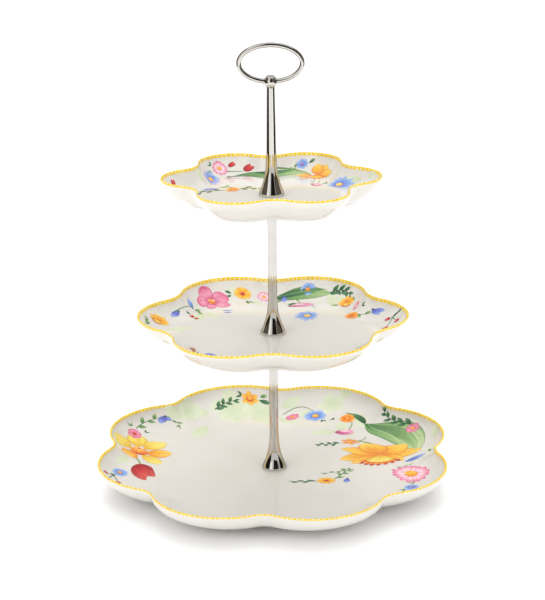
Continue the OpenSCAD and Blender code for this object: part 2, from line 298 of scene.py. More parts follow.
# %% Edge and skin of a plate
class Plate:
    """One plate: its scalloped edge, and a path over its skin from the hole to the rim."""

    def __init__(self, node, body, lobes, tip_r, lobe_r, hollow_r, turn_deg, foot_h, floor_t,
                 foot_k, floor_k, foot_scallop, bend_in, bend_out):
        low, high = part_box(node)
        self.node, self.body, self.lobes = node, body, lobes
        self.tip_r, self.lobe_r, self.hollow_r = tip_r, lobe_r, hollow_r
        self.turn = math.radians(turn_deg)
        self.foot_z, self.rim_z = low[2], high[2]
        self.foot_h, self.floor_t = foot_h, floor_t
        self.foot_k, self.floor_k, self.foot_scallop = foot_k, floor_k, foot_scallop
        self.bend_in, self.bend_out = bend_in, bend_out
        self.lip_t, self.foot_w, self.hole_r = 2.4 * mm, 6.0 * mm, 5.0 * mm
        self.lip_k = self.lip_t / tip_r
        self.mean_r = sum(self.edge(math.radians(a)) for a in range(360)) / 360
        self.floor_z = self.foot_z + foot_h + floor_t
        self.path = self.inner_path()
        self.marks = self.measure(self.path)

    def edge(self, angle):
        """Distance from the centre to the rim, at an angle from the front."""
        step = math.tau / self.lobes
        from_hollow = (angle - self.turn) % step
        from_hollow = min(from_hollow, step - from_hollow)
        from_lobe = step / 2 - from_hollow
        d = self.tip_r - self.lobe_r
        reach = self.lobe_r + self.hollow_r
        lx, ly = d * math.cos(step / 2), d * math.sin(step / 2)
        e = lx + math.sqrt(reach * reach - ly * ly)
        k = self.lobe_r / reach
        join = math.atan2(ly - ly * k, lx + (e - lx) * k)
        if from_hollow < join:
            sideways = e * math.sin(from_hollow)
            return e * math.cos(from_hollow) - math.sqrt(self.hollow_r ** 2 - sideways ** 2)
        sideways = d * math.sin(from_lobe)
        return d * math.cos(from_lobe) + math.sqrt(self.lobe_r ** 2 - sideways ** 2)

    def scallop(self, k):
        """Share of the scallop at scale k: none at the hole, all of it at the rim."""
        if k < self.foot_k:
            t = min(max((k - 0.1) / 0.4, 0.0), 1.0)
            return self.foot_scallop * t * t * (3 - 2 * t)
        return self.foot_scallop + (1 - self.foot_scallop) * (k - self.foot_k) / (1 - self.foot_k)

    def radius(self, k, angle):
        """Distance from the axis at scale k: 0 is the axis and 1 the rim."""
        share = self.scallop(k)
        return k * (share * self.edge(angle) + (1 - share) * self.mean_r)

    def rise(self, u):
        """Share of the wall's height at share u of its way out."""
        return 1 - (1 - u ** self.bend_in) ** (1 / self.bend_out)

    def lip(self, steps=10):
        """Round lip, from its inner side over the top to its outer side."""
        middle_k, half = 1 - self.lip_k / 2, self.lip_t / 2
        angles = [math.pi * i / steps for i in range(1, steps)]
        return [(middle_k - self.lip_k / 2 * math.cos(a), self.rim_z - half + half * math.sin(a))
                for a in angles]

    def wall(self, root_k, end_k, root_z, steps=44):
        """One side of the wall, from its root up to the lip."""
        top_z = self.rim_z - self.lip_t / 2
        points = []
        for i in range(steps + 1):
            u = math.sin(math.pi / 2 * i / steps)
            points.append((root_k + (end_k - root_k) * u, root_z + (top_z - root_z) * self.rise(u)))
        return points

    def inner_path(self):
        """Upper skin as (scale, height), from the centre over the floor and wall to the lip."""
        inner = self.wall(self.floor_k, 1 - self.lip_k, self.floor_z)
        return [(0.0, self.floor_z)] + inner + self.lip() + [(1.0, self.rim_z - self.lip_t / 2)]

    def measure(self, path):
        """Distance along the skin, in metres, at each point of the path."""
        marks = [0.0]
        for (k0, z0), (k1, z1) in zip(path, path[1:]):
            marks.append(marks[-1] + math.hypot((k1 - k0) * self.mean_r, z1 - z0))
        return marks

    def on_skin(self, angle, along):
        """Point on the upper skin, at an angle and a distance along the skin from the centre."""
        i = 1
        while i < len(self.marks) - 1 and self.marks[i] < along:
            i += 1
        t = (along - self.marks[i - 1]) / (self.marks[i] - self.marks[i - 1])
        (k0, z0), (k1, z1) = self.path[i - 1], self.path[i]
        r = self.radius(k0 + (k1 - k0) * t, angle)
        return Vector((r * math.sin(angle), -r * math.cos(angle), z0 + (z1 - z0) * t))

    def skin_normal(self, angle, along):
        """Direction that points straight out of the upper skin."""
        step = 0.4 * mm
        r = max(math.hypot(*self.on_skin(angle, along).xy), 5 * mm)
        across = self.on_skin(angle + step / r, along) - self.on_skin(angle - step / r, along)
        outward = self.on_skin(angle, along + step) - self.on_skin(angle, along - step)
        return outward.cross(across).normalized()


plates = {
    "bottom": Plate("bottom_plate", "bottom_tier", lobes=8, tip_r=169.9 * mm, lobe_r=68.5 * mm,
                    hollow_r=21.2 * mm, turn_deg=-3.5, foot_h=4.0 * mm, floor_t=4.2 * mm,
                    foot_k=0.64, floor_k=0.70, foot_scallop=0.80, bend_in=2.05, bend_out=2.0),
    "middle": Plate("middle_plate", "middle_tier", lobes=6, tip_r=126 * mm, lobe_r=53 * mm,
                    hollow_r=36.4 * mm, turn_deg=-0.5, foot_h=2.2 * mm, floor_t=3.8 * mm,
                    foot_k=0.766, floor_k=0.78, foot_scallop=1.0, bend_in=1.43, bend_out=1.54),
    "top": Plate("top_plate", "top_tier", lobes=6, tip_r=100.5 * mm, lobe_r=34.3 * mm,
                 hollow_r=23.5 * mm, turn_deg=1.5, foot_h=2.2 * mm, floor_t=3.8 * mm,
                 foot_k=0.785, floor_k=0.79, foot_scallop=0.90, bend_in=1.45, bend_out=1.5),
}
for name, plate in plates.items():
    print(name, "plate: skin is", round(plate.marks[-1] / mm), "mm from centre to rim")

# %% [markdown]
# A potter would throw the plate round and press the scallops in. The mesh is made the same
# way: one closed outline of the wall is spun into a round plate, and then every point moves
# in or out until the edge follows the lobes.

# %% Throw the plate, then press the scallops
spin_steps_per_lobe = 48
bare_foot_h = 0.6 * mm


def plate_outline(plate):
    """Closed outline as (scale, height): floor, inner wall, lip, outer wall, foot, hole."""
    foot_z, roof_z = plate.foot_z, plate.foot_z + plate.foot_h
    ring_k = plate.foot_w / plate.tip_r
    hole_k = plate.hole_r / plate.mean_r
    soft = 0.9 * mm
    soft_k = soft / plate.tip_r
    ring_in_k = plate.foot_k - ring_k
    hole_chamfer, chamfer_k = 0.4 * mm, 0.006
    floor = [(hole_k + chamfer_k, plate.floor_z)]
    floor += [(hole_k + (plate.floor_k - hole_k) * i / 12, plate.floor_z) for i in range(1, 12)]
    outer = plate.wall(plate.foot_k, 1.0, roof_z)
    foot = [
        (plate.foot_k, foot_z + plate.foot_h * 0.55),
        (plate.foot_k - soft_k * 0.2, foot_z + soft * 0.5),
        (plate.foot_k - soft_k, foot_z),
        (ring_in_k + soft_k, foot_z),
        (ring_in_k + soft_k * 0.2, foot_z + soft * 0.4),
        (ring_in_k - soft_k, roof_z - soft * 0.5),
        (ring_in_k - soft_k * 2.5, roof_z),
    ]
    under = [(hole_k + (ring_in_k - 0.05 - hole_k) * i / 8, roof_z) for i in range(8, 0, -1)]
    hole = [(hole_k + chamfer_k, roof_z), (hole_k, roof_z + hole_chamfer),
            (hole_k, plate.floor_z - hole_chamfer)]
    return floor + plate.path[1:-1] + outer[::-1] + foot + under + hole


def press_scallops(bm, plate):
    """Move every point of a round shape in or out, until its edge follows the lobes."""
    for vert in bm.verts:
        k = math.hypot(vert.co.x, vert.co.y) / plate.mean_r
        angle = math.atan2(vert.co.x, -vert.co.y)
        r = plate.radius(k, angle)
        vert.co.x, vert.co.y = r * math.sin(angle), -r * math.cos(angle)


def build_plate(name, plate):
    outline = [(k * plate.mean_r, z) for k, z in plate_outline(plate)]
    bm = lathe(outline, steps=plate.lobes * spin_steps_per_lobe)
    press_scallops(bm, plate)
    bare = bm.verts.layers.float.new("bare")
    for vert in bm.verts:
        vert[bare] = 1.0 if vert.co.z < plate.foot_z + bare_foot_h else 0.0
    piece = make_piece(bm, name + "_porcelain", plate.body, [porcelain])
    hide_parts(plate.node)
    print(piece.name, len(piece.data.polygons), "faces")


for name, plate in plates.items():
    build_plate(name, plate)

# %% [markdown]
# ## Painted rim
# A thin yellow line runs over the lip, with two rows of small white dots on it. The line is
# a skin a few hundredths of a millimetre thick: the lip's part of the outline, spun, pressed
# to the same scallops and given thickness.

# %% Rim band
paint_reach_in, paint_reach_out = 3.2 * mm, 2.0 * mm
paint_t = 0.06 * mm


def build_band(name, plate):
    inner = [p for p in plate.path[:-1] if p[1] > plate.rim_z - paint_reach_in and p[0] > 0.9]
    outer = [p for p in plate.wall(plate.foot_k, 1.0, plate.foot_z + plate.foot_h)[::-1]
             if p[1] > plate.rim_z - paint_reach_out]
    bm = bmesh.new()
    verts = [bm.verts.new((k * plate.mean_r, 0.0, z)) for k, z in inner + outer]
    for pair in zip(verts, verts[1:]):
        bm.edges.new(pair)
    spin_round(bm, plate.lobes * spin_steps_per_lobe)
    press_scallops(bm, plate)
    bmesh.ops.recalc_face_normals(bm, faces=bm.faces[:])
    crown = [f for f in bm.faces if f.calc_center_median().z > plate.rim_z - 0.3 * mm]
    if sum(f.normal.z for f in crown) < 0:
        bmesh.ops.reverse_faces(bm, faces=bm.faces[:])
    bm.normal_update()
    for vert in bm.verts:
        vert.co += vert.normal * paint_t / 2
    bmesh.ops.solidify(bm, geom=bm.faces[:], thickness=paint_t)
    band = make_piece(bm, name + "_rim_band", plate.body, [rim_yellow], 50.0)
    print(band.name, len(band.data.polygons), "faces")


for name, plate in plates.items():
    build_band(name, plate)

# %% White dots on the rim
dot_pitch, dot_t, dot_lift, dot_stretch = 4.6 * mm, 0.04 * mm, 0.13 * mm, 1.7
dot_rows = ((4.0 * mm, 0.55 * mm), (0.9 * mm, 0.40 * mm))


def build_dots(name, plate):
    """White dots along the lip: a row on its inner shoulder and a finer one outside."""
    turns = 720
    turn = math.tau / turns
    run = [0.0]
    for i in range(turns):
        r0, r1 = plate.edge(i * turn), plate.edge((i + 1) * turn)
        run.append(run[-1] + math.hypot(r1 - r0, (r0 + r1) / 2 * turn))
    count = round(run[-1] / dot_pitch)
    bm = bmesh.new()
    for down, half_width in dot_rows:
        along = plate.marks[-1] - down
        for n in range(count):
            target = run[-1] * (n + 0.5) / count
            i = next(j for j in range(turns) if run[j + 1] > target)
            angle = turn * (i + (target - run[i]) / (run[i + 1] - run[i]))
            up = plate.skin_normal(angle, along)
            ahead, behind = plate.on_skin(angle + turn, along), plate.on_skin(angle - turn, along)
            side = (ahead - behind).normalized()
            place = Matrix((side, up.cross(side), up)).transposed().to_4x4()
            place.translation = plate.on_skin(angle, along) + up * dot_lift
            longer = Matrix.Diagonal((dot_stretch, 1.0, 1.0, 1.0))
            bmesh.ops.create_circle(bm, cap_ends=True, cap_tris=True, radius=half_width,
                                    segments=10, matrix=place @ longer)
    bmesh.ops.solidify(bm, geom=bm.faces[:], thickness=dot_t)
    dots = make_piece(bm, name + "_rim_dots", plate.body, [rim_dot], 60.0)
    print(dots.name, 2 * count, "dots,", len(dots.data.polygons), "faces")


for name, plate in plates.items():
    build_dots(name, plate)

# %% [markdown]
# ## Turned metal
# The stem sections are turned on a lathe, so each is one closed outline spun about the
# axis: outside up, inside down. The bell, the slim tube and the flange are smooth curves,
# and the inside keeps the bore and the bush's seat of the engineering model.

# %% Stem sections
bell_h = 38 * mm
bore_r = 2.52 * mm


def bell(tube_r, base_z, bell_r=11.5 * mm, edge_t=1.4 * mm):
    """Outside of a stem's foot, from its edge up to where the tube begins."""
    lip = [(bell_r - 0.5 * mm, base_z), (bell_r - 0.12 * mm, base_z + 0.15 * mm),
           (bell_r, base_z + 0.5 * mm)]
    flare = curve((bell_r, base_z + edge_t), (bell_r * 0.72, base_z + bell_h * 0.25),
                  (tube_r, base_z + bell_h * 0.42), (tube_r, base_z + bell_h), 40)
    return lip + flare


def hollow(base_z, top_z, bush_top=13 * mm, seat_end=8.4 * mm, seat_r=4.22 * mm,
           skirt_r=10.1 * mm):
    """Inside of a stem, from the top down to the bell's open mouth."""
    return [
        (bore_r, top_z), (bore_r, base_z + bush_top), (seat_r, base_z + bush_top),
        (seat_r, base_z + seat_end), (skirt_r - 0.3 * mm, base_z + 0.4 * mm), (skirt_r, base_z),
    ]


def build_flanged_stem(node, body):
    """Lower or middle stem: bell, tube, and the flange that carries the next plate."""
    low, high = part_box(node)
    base_z, top_z = low[2], high[2]
    tube_r, flange_r, flange_h = 4.2 * mm, 7.5 * mm, 34 * mm
    flange = curve((tube_r, top_z - flange_h), (tube_r, top_z - flange_h * 0.45),
                   (flange_r * 0.72, top_z - flange_h * 0.2), (flange_r, top_z - 1 * mm), 28)
    rim = [(flange_r, top_z - 0.3 * mm), (flange_r - 0.3 * mm, top_z)]
    bm = lathe(bell(tube_r, base_z) + flange + rim + hollow(base_z, top_z))
    stem = make_piece(bm, node + "_turned", body, [polished])
    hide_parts(node)
    print(stem.name, len(stem.data.polygons), "faces")


build_flanged_stem("lower_stem", "lower_stem")
build_flanged_stem("middle_stem", "middle_stem")

# %% [markdown]
# The handle stem tapers all the way up, and its upper end is cupped to seat the ball.

# %% Handle stem and ball
ball_r = 6.1 * mm
ball_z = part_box("handle_ball")[1][2] - ball_r


def build_handle_stem():
    base_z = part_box("handle_stem")[0][2]
    shoulder_z, shoulder_r, tip_r = base_z + bell_h, 4.9 * mm, 3.9 * mm
    mouth_r, cup_gap, seated = 3.6 * mm, 0.02 * mm, 0.15 * mm
    tip_z = ball_z - math.sqrt(ball_r ** 2 - tip_r ** 2) + seated
    cup = []
    for i in range(7):
        r = mouth_r - (mouth_r - bore_r) * i / 6
        cup.append((r, ball_z - math.sqrt((ball_r + cup_gap) ** 2 - r * r)))
    # Extra rings near the tip keep the long taper's shading apart from the tip's edge.
    taper = [(shoulder_r - (shoulder_r - tip_r) * t, shoulder_z + (tip_z - shoulder_z) * t)
             for t in (0.05, 0.35, 0.65, 0.9, 0.98, 0.99)]
    tip = [(tip_r - 0.06 * mm, tip_z - 0.1 * mm), (tip_r - 0.2 * mm, tip_z)]
    inside = hollow(base_z, cup[-1][1])[1:]
    bm = lathe(bell(shoulder_r, base_z) + taper + tip + cup + inside)
    stem = make_piece(bm, "handle_stem_turned", "handle", [polished])
    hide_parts("handle_stem")
    print(stem.name, len(stem.data.polygons), "faces")


build_handle_stem()

# %% [markdown]
# The ring is one length of round wire bent to an oval. A circle of wire section is spun
# into a round ring, which is then squeezed to the oval: each slice of wire keeps its round
# section and only moves and turns.

# %% Ring
def build_ring():
    low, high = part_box("handle_ring")
    wire_r = 2.35 * mm
    half_w = (high[0] - low[0]) / 2 - wire_r
    half_h = (high[2] - low[2]) / 2 - wire_r
    middle_z = (high[2] + low[2]) / 2
    bm = bmesh.new()
    upright = Matrix.Translation((half_w, 0, 0)) @ Matrix.Rotation(math.pi / 2, 4, "X")
    bmesh.ops.create_circle(bm, segments=24, radius=wire_r, matrix=upright)
    spin_round(bm, 144)
    for vert in bm.verts:
        angle = math.atan2(vert.co.y, vert.co.x)
        out = math.hypot(vert.co.x, vert.co.y) - half_w
        n = Vector((half_h * math.cos(angle), half_w * math.sin(angle))).normalized()
        x = half_w * math.cos(angle) + n.x * out
        z = middle_z + half_h * math.sin(angle) + n.y * out
        vert.co = (x, vert.co.z, z)
    ring = make_piece(bm, "handle_ring_wire", "handle", [polished], 60.0)
    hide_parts("handle_ring")
    print(ring.name, len(ring.data.polygons), "faces")


build_ring()

# %% [markdown]
# ## The pieces that stay as they are
# Bushes, studs, the screw, the washer and the gaskets have the right shape already, so they
# only get their finish. The ball does too: it is a true sphere drilled for the wire.

# %% Finishes for the carried pieces
carried = {
    turned_brass: ["lower_bush", "middle_bush", "handle_bush", "lower_stud", "middle_stud"],
    plated_steel: ["base_screw", "base_washer"],
    soft_gasket: ["bottom_upper_gasket", "bottom_lower_gasket", "middle_upper_gasket",
                  "middle_lower_gasket", "top_upper_gasket", "top_lower_gasket"],
    polished: ["handle_ball"],
}
for material, nodes in carried.items():
    for node in nodes:
        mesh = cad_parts[node].data
        mesh.materials.clear()
        mesh.materials.append(material)
print("finished", sum(len(nodes) for nodes in carried.values()), "carried pieces")

# %% [markdown]
# ## Painting the flowers
# Glaze painting has almost no thickness. Each motif is drawn flat, in millimetres, from three
# simple strokes: a petal, a ribbon for stems, and a round dab. Petals and ribbons start as a
# grid, dabs as a filled circle. The drawing is then laid on the plate's skin by angle and
# distance, lifted a few hundredths of a millimetre, and given a little thickness.
# In a drawing +x is the stand's right and +y its back, whichever side of the plate it is on.

# %% Paints
def paint_finish(name, root, middle, tip, line, streak, edge):
    """Paint that runs from root to tip of a stroke, with brushed streaks and a darker edge."""
    f = Finish("paint_" + name, Roughness=0.14, IOR=1.5, Coat_Weight=0.35, Coat_Roughness=0.04)
    split = f.add("ShaderNodeSeparateXYZ")
    f.link(f.add("ShaderNodeUVMap", uv_map="paint").outputs["UV"], split.inputs["Vector"])
    across, along = split.outputs["X"], split.outputs["Y"]
    own = f.add("ShaderNodeAttribute", attribute_name="tone").outputs["Fac"]
    wash = f.noise(420.0, 3.0, 0.6)
    blend = f.math("ADD", along, f.math("MULTIPLY", f.math("SUBTRACT", wash, 0.5), 0.5))
    colour = f.ramp(blend, [(0.12, root), (0.5, middle), (0.9, tip)])
    join = f.add("ShaderNodeCombineXYZ")
    f.link(f.math("MULTIPLY", across, 9.0), join.inputs["X"])
    f.link(f.math("MULTIPLY", along, 1.2), join.inputs["Y"])
    f.link(f.math("MULTIPLY", own, 40.0), join.inputs["Z"])
    brush = f.noise(1.0, 2.0, 0.5, join.outputs["Vector"])
    streaks = f.math("MULTIPLY", f.spread(brush, 0.45, 0.75, 0.0, 1.0), streak)
    colour = f.mix_colours(streaks, colour, line)
    side = f.math("ABSOLUTE", f.math("SUBTRACT", f.math("MULTIPLY", across, 2.0), 1.0))
    rim = f.math("MULTIPLY", f.spread(side, 0.72, 1.0, 0.0, 1.0), edge)
    f.colour(f.mix_colours(rim, colour, line))
    f.gloss(f.spread(wash, 0.3, 0.7, 0.10, 0.18))
    return f.material


# Each paint: colour at the root, in the middle, at the tip and of the lines, then how strong
# the streaks and the darker edge are.
paint_colours = {
    "pink": ((206, 66, 108), (236, 158, 182), (226, 112, 150), (192, 52, 104), 0.6, 0.6),
    "blush": ((238, 190, 200), (250, 226, 232), (232, 120, 160), (214, 84, 134), 0.55, 0.6),
    "magenta": ((176, 60, 120), (220, 120, 166), (240, 176, 200), (150, 40, 100), 0.5, 0.5),
    "red": ((168, 20, 30), (206, 44, 44), (222, 84, 70), (120, 10, 28), 0.7, 0.7),
    "orange": ((214, 90, 26), (242, 142, 40), (250, 190, 84), (206, 84, 26), 0.5, 0.5),
    "yellow": ((232, 132, 26), (248, 186, 50), (252, 212, 92), (214, 116, 24), 0.65, 0.8),
    "lemon": ((226, 176, 50), (244, 216, 92), (246, 226, 130), (204, 156, 40), 0.6, 0.7),
    "blue": ((70, 106, 190), (128, 164, 226), (176, 202, 242), (56, 86, 176), 0.5, 0.5),
    "violet": ((96, 92, 178), (110, 130, 214), (160, 178, 236), (52, 60, 150), 0.5, 0.5),
    "leaf": ((70, 116, 62), (118, 160, 92), (176, 202, 140), (52, 96, 56), 0.55, 0.4),
    "pale_leaf": ((112, 156, 92), (150, 184, 120), (194, 212, 160), (84, 130, 78), 0.5, 0.6),
    "deep_leaf": ((34, 84, 52), (62, 116, 72), (96, 146, 92), (24, 66, 44), 0.5, 0.5),
    "stem": ((96, 138, 74), (120, 156, 88), (150, 180, 112), (62, 104, 56), 0.5, 0.5),
    "shade": ((206, 214, 182), (212, 220, 190), (220, 226, 200), (196, 206, 170), 0.3, 0.0),
    "brown": ((150, 84, 40), (178, 104, 48), (200, 130, 70), (120, 60, 30), 0.5, 0.5),
}
paints = {}
for name, (root, middle, tip, line, streak, edge) in paint_colours.items():
    colours = (tint(*c) for c in (root, middle, tip, line))
    paints[name] = paint_finish(name, *colours, streak, edge)
print(len(paints), "paints")

# %% Strokes
def through(points):
    """A smooth line through three points: where it is at t, and which way it runs there."""
    p0, p1, p2 = (Vector(p) for p in points)
    control = 2 * p1 - p0 / 2 - p2 / 2

    def spot(t):
        return (1 - t) ** 2 * p0 + 2 * t * (1 - t) * control + t * t * p2

    def run(t):
        return (1 - t) * (control - p0) + t * (p2 - control)

    return spot, run


class Painting:
    """Painted strokes round one place on a plate, drawn flat and then laid on the skin."""

    lowest, layer_step, stroke_step = 0.06, 0.022, 0.0008
    paint_t, merge_mm = 0.03 * mm, 0.004
    nearest = 12 * mm
    waiting = []

    def __init__(self, name, plate_name, angle_deg, along):
        self.name, self.plate = name, plates[plate_name]
        self.angle, self.along = math.radians(angle_deg), along * mm
        self.bm = bmesh.new()
        self.uv = self.bm.loops.layers.uv.new("paint")
        self.tone = self.bm.verts.layers.float.new("tone")
        self.materials = []
        self.random = random.Random(name)
        self.strokes = 0
        self.waiting.append(self)

    def stroke(self, verts, paint, layer, place):
        """Move new flat verts, given as -1 to 1 both ways, to their place in the drawing."""
        if paint not in self.materials:
            self.materials.append(paint)
        self.strokes += 1
        lift = self.lowest + self.layer_step * layer + self.stroke_step * (self.strokes % 12)
        tone = self.random.random()
        for face in {face for vert in verts for face in vert.link_faces}:
            face.material_index = self.materials.index(paint)
            for loop in face.loops:
                loop[self.uv].uv = (loop.vert.co.x / 2 + 0.5, loop.vert.co.y / 2 + 0.5)
        for vert in verts:
            x, y = place(vert.co.x, vert.co.y / 2 + 0.5)
            vert.co = (x, y, lift)
            vert[self.tone] = tone
        bmesh.ops.remove_doubles(self.bm, verts=verts, dist=self.merge_mm)

    def grid(self, columns, rows):
        """Flat grid to start a stroke from, 2 across and 2 long."""
        made = bmesh.ops.create_grid(self.bm, x_segments=columns, y_segments=rows, size=1.0)
        return made["verts"]

    def petal(self, x, y, turn_deg, length, width, paint, layer=2, widest=0.55, point=0.75,
              bend=0.0, start=0.0):
        """A petal or a leaf from (x, y), pointing where turn says: 0 is back, 90 is left."""
        a = math.radians(turn_deg)
        power = math.log(0.5) / math.log(widest)

        def place(across, along):
            wide = width / 2 * math.sin(math.pi * min(max(along, 0.0), 1.0) ** power) ** point
            px = across * wide + bend * length * along * along
            py = start + length * along
            return x + px * math.cos(a) - py * math.sin(a), y + px * math.sin(a) + py * math.cos(a)

        columns = 2 * min(max(round(width / 3.5), 2), 6)
        rows = min(max(round(length / 1.8), 6), 36)
        self.stroke(self.grid(columns, rows), paint, layer, place)

    def ribbon(self, points, width, paint="stem", layer=1):
        """A stem: a thin ribbon along a smooth line through three points."""
        spot, run = through(points)

        def place(across, along):
            way = run(along)
            side = Vector((way.y, -way.x)).normalized()
            at = spot(along) + side * across * width * 0.75 * (1.15 - 0.5 * along)
            return at.x, at.y

        p0, p1, p2 = (Vector(p) for p in points)
        length = (p1 - p0).length + (p2 - p1).length
        rows = min(max(round(length / 1.8), 5), 40)
        self.stroke(self.grid(2, rows), paint, layer, place)

    def dab(self, x, y, radius, paint, layer=3, squash=1.0):
        """A round dab of paint."""
        made = bmesh.ops.create_circle(self.bm, cap_ends=True, cap_tris=True, radius=1.0,
                                       segments=14)

        def place(across, along):
            return x + across * radius, y + (along * 2 - 1) * radius * squash

        self.stroke(made["verts"], paint, layer, place)

    def fan(self, x, y, turn_deg, inner, outer, spread_deg, paint, layer=4, frills=7, frill=0.07):
        """A frilled fan, like the trumpet of a daffodil seen from its side."""

        def place(across, along):
            a = math.radians(turn_deg + across * spread_deg / 2)
            wave = 1 + frill * along * math.sin(across * math.pi * frills)
            r = (inner + (outer - inner) * along) * wave
            return x - r * math.sin(a), y + r * math.cos(a)

        self.stroke(self.grid(36, 6), paint, layer, place)

    def lay(self):
        """Lay the drawing on the plate and give it thickness."""
        plate, c, s = self.plate, math.cos(self.angle), math.sin(self.angle)
        for vert in self.bm.verts:
            x, y, lift = vert.co * mm
            outward = x * s - y * c
            around = x * c + y * s
            along = max(self.along + outward, self.nearest)
            r = max(plate.on_skin(self.angle, along).xy.length, self.nearest)
            angle = self.angle + around / r
            vert.co = plate.on_skin(angle, along) + plate.skin_normal(angle, along) * lift
        self.bm.normal_update()
        bmesh.ops.solidify(self.bm, geom=self.bm.faces[:], thickness=self.paint_t)
        used = [paints[p] for p in self.materials]
        piece = make_piece(self.bm, self.name, plate.body, used, 60.0)
        return len(piece.data.polygons)


def lay_waiting(title):
    """Lay every drawing made since the last time."""
    drawings = len(Painting.waiting)
    faces = sum(drawing.lay() for drawing in Painting.waiting)
    Painting.waiting.clear()
    print(title, drawings, "drawings,", faces, "faces")

# %% [markdown]
# From the strokes come the motifs: open flowers, daffodils, tulips, bluebells, sprigs and
# berries. Every petal is turned and sized a little differently, as a painter's would be.

# %% Motifs
def flower(p, x, y, radius, petals, paint, eye="yellow", slim=0.85, turn=0.0, layer=2, point=0.6):
    """An open flower seen from the front."""
    width = math.tau * radius / petals * slim
    for i in range(petals):
        a = turn + 360 * i / petals + p.random.uniform(-5, 5)
        size = radius * p.random.uniform(0.92, 1.06)
        p.petal(x, y, a, size, width, paint, layer + i % 2, widest=0.66, point=point)
    p.dab(x, y, radius * 0.27, eye, layer + 2)
    if radius > 5:
        for i in range(9):
            a = math.tau * i / 9
            r = radius * 0.25
            p.dab(x + r * math.cos(a), y + r * math.sin(a), radius * 0.05, "orange", layer + 3)


def daffodil(p, x, y, radius, turn=0.0, layer=2):
    """A daffodil from the side: petals spread behind a frilled trumpet."""
    for a, size, wide, up in ((-92, 1.0, 0.44, 0), (94, 0.96, 0.46, 0), (-120, 0.72, 0.36, 1),
                              (122, 0.80, 0.34, 1), (-52, 0.86, 0.56, 1), (54, 0.84, 0.54, 1),
                              (2, 0.80, 0.62, 2)):
        p.petal(x, y, turn + a, radius * size, radius * wide, "yellow", layer + up, widest=0.5,
                point=0.8, bend=p.random.uniform(-0.10, 0.10))
    p.fan(x, y, turn + 180, radius * 0.04, radius * 0.52, 104, "lemon", layer + 3, frills=6)
    for i in range(-3, 4):
        p.petal(x, y, turn + 180 + i * 14, radius * 0.36, radius * 0.06, "orange", layer + 4,
                start=radius * 0.06)
    p.fan(x, y, turn + 180, radius * 0.44, radius * 0.60, 110, "orange", layer + 4, frill=0.09)
    p.fan(x, y, turn + 180, radius * 0.55, radius * 0.60, 110, "red", layer + 5, frill=0.09)


def open_daffodil(p, x, y, radius, turn, layer=2):
    """A daffodil from the front: six petals round an orange cup."""
    for i in range(6):
        a = turn + 60 * i + p.random.uniform(-6, 6)
        p.petal(x, y, a, radius, radius * 0.62, "yellow", layer + i % 2, widest=0.52, point=0.85)
    p.dab(x, y, radius * 0.40, "orange", layer + 2)
    p.dab(x, y, radius * 0.27, "yellow", layer + 3)
    for i in range(10):
        a = math.tau * i / 10
        r = radius * 0.33
        p.dab(x + r * math.cos(a), y + r * math.sin(a), radius * 0.06, "red", layer + 4)


def tulip(p, x, y, length, turn, layer=2):
    """A half open tulip from the side: two outer petals, two inner ones and one in front."""
    for a, size, wide, bend, up in ((-15, 0.98, 0.34, -0.10, 0), (15, 0.94, 0.34, 0.10, 0),
                                    (-7, 1.0, 0.30, 0.02, 1), (8, 0.96, 0.30, -0.02, 1),
                                    (0, 0.84, 0.36, 0.0, 2)):
        p.petal(x, y, turn + a, length * size, length * wide, "red", layer + up, widest=0.40,
                point=0.62, bend=bend)


def bluebell(p, x, y, length, turn, paint="violet", layer=2):
    """A hanging bell of three petals with turned out tips, and its cap."""
    for a, bend in ((-16, 0.22), (16, -0.22), (0, 0.0)):
        p.petal(x, y, turn - a, length, length * 0.42, paint, layer + (a == 0), point=0.8,
                bend=bend)
    p.dab(x, y, length * 0.10, "deep_leaf", layer + 2)


def leaf_pair(p, x, y, turn, length, paint="leaf", layer=1):
    """Two small leaves that part from one place."""
    for a, size, bend in ((38, 1.0, 0.08), (-34, 0.9, -0.08)):
        p.petal(x, y, turn + a, length * size, length * 0.36, paint, layer, widest=0.45,
                point=0.9, bend=bend)


def sprig(p, points, leaves, leaf, paint="leaf", layer=1, width=0.6):
    """A stem through three points with small leaves on both sides and one at the tip."""
    p.ribbon(points, width, "stem" if paint == "leaf" else paint, layer)
    spot, run = through(points)
    for i in range(leaves):
        t = (i + 0.6) / leaves
        at, way = spot(t), run(t)
        lean = (42 if i % 2 else -42) + p.random.uniform(-10, 10)
        size = leaf * (1.35 - 0.4 * t)
        p.petal(at.x, at.y, math.degrees(math.atan2(-way.x, way.y)) + lean, size, size * 0.48,
                paint, layer + 1, widest=0.45)
    at, way = spot(1.0), run(1.0)
    p.petal(at.x, at.y, math.degrees(math.atan2(-way.x, way.y)), leaf * 0.8, leaf * 0.32, paint,
            layer + 1, widest=0.45, point=0.9)


def berries(p, spots, radius, layer=2):
    """Red berries, each with a small shine."""
    for x, y in spots:
        p.dab(x, y, radius, "red", layer, 0.9)
        p.dab(x - radius * 0.3, y + radius * 0.3, radius * 0.25, "blush", layer + 1)

# %% [markdown]
# ### Bottom plate
# The large daffodil and its folded leaf fill the right side, a smaller daffodil with a tulip
# answers them on the left, and small flowers on pale green shadows run round the back.

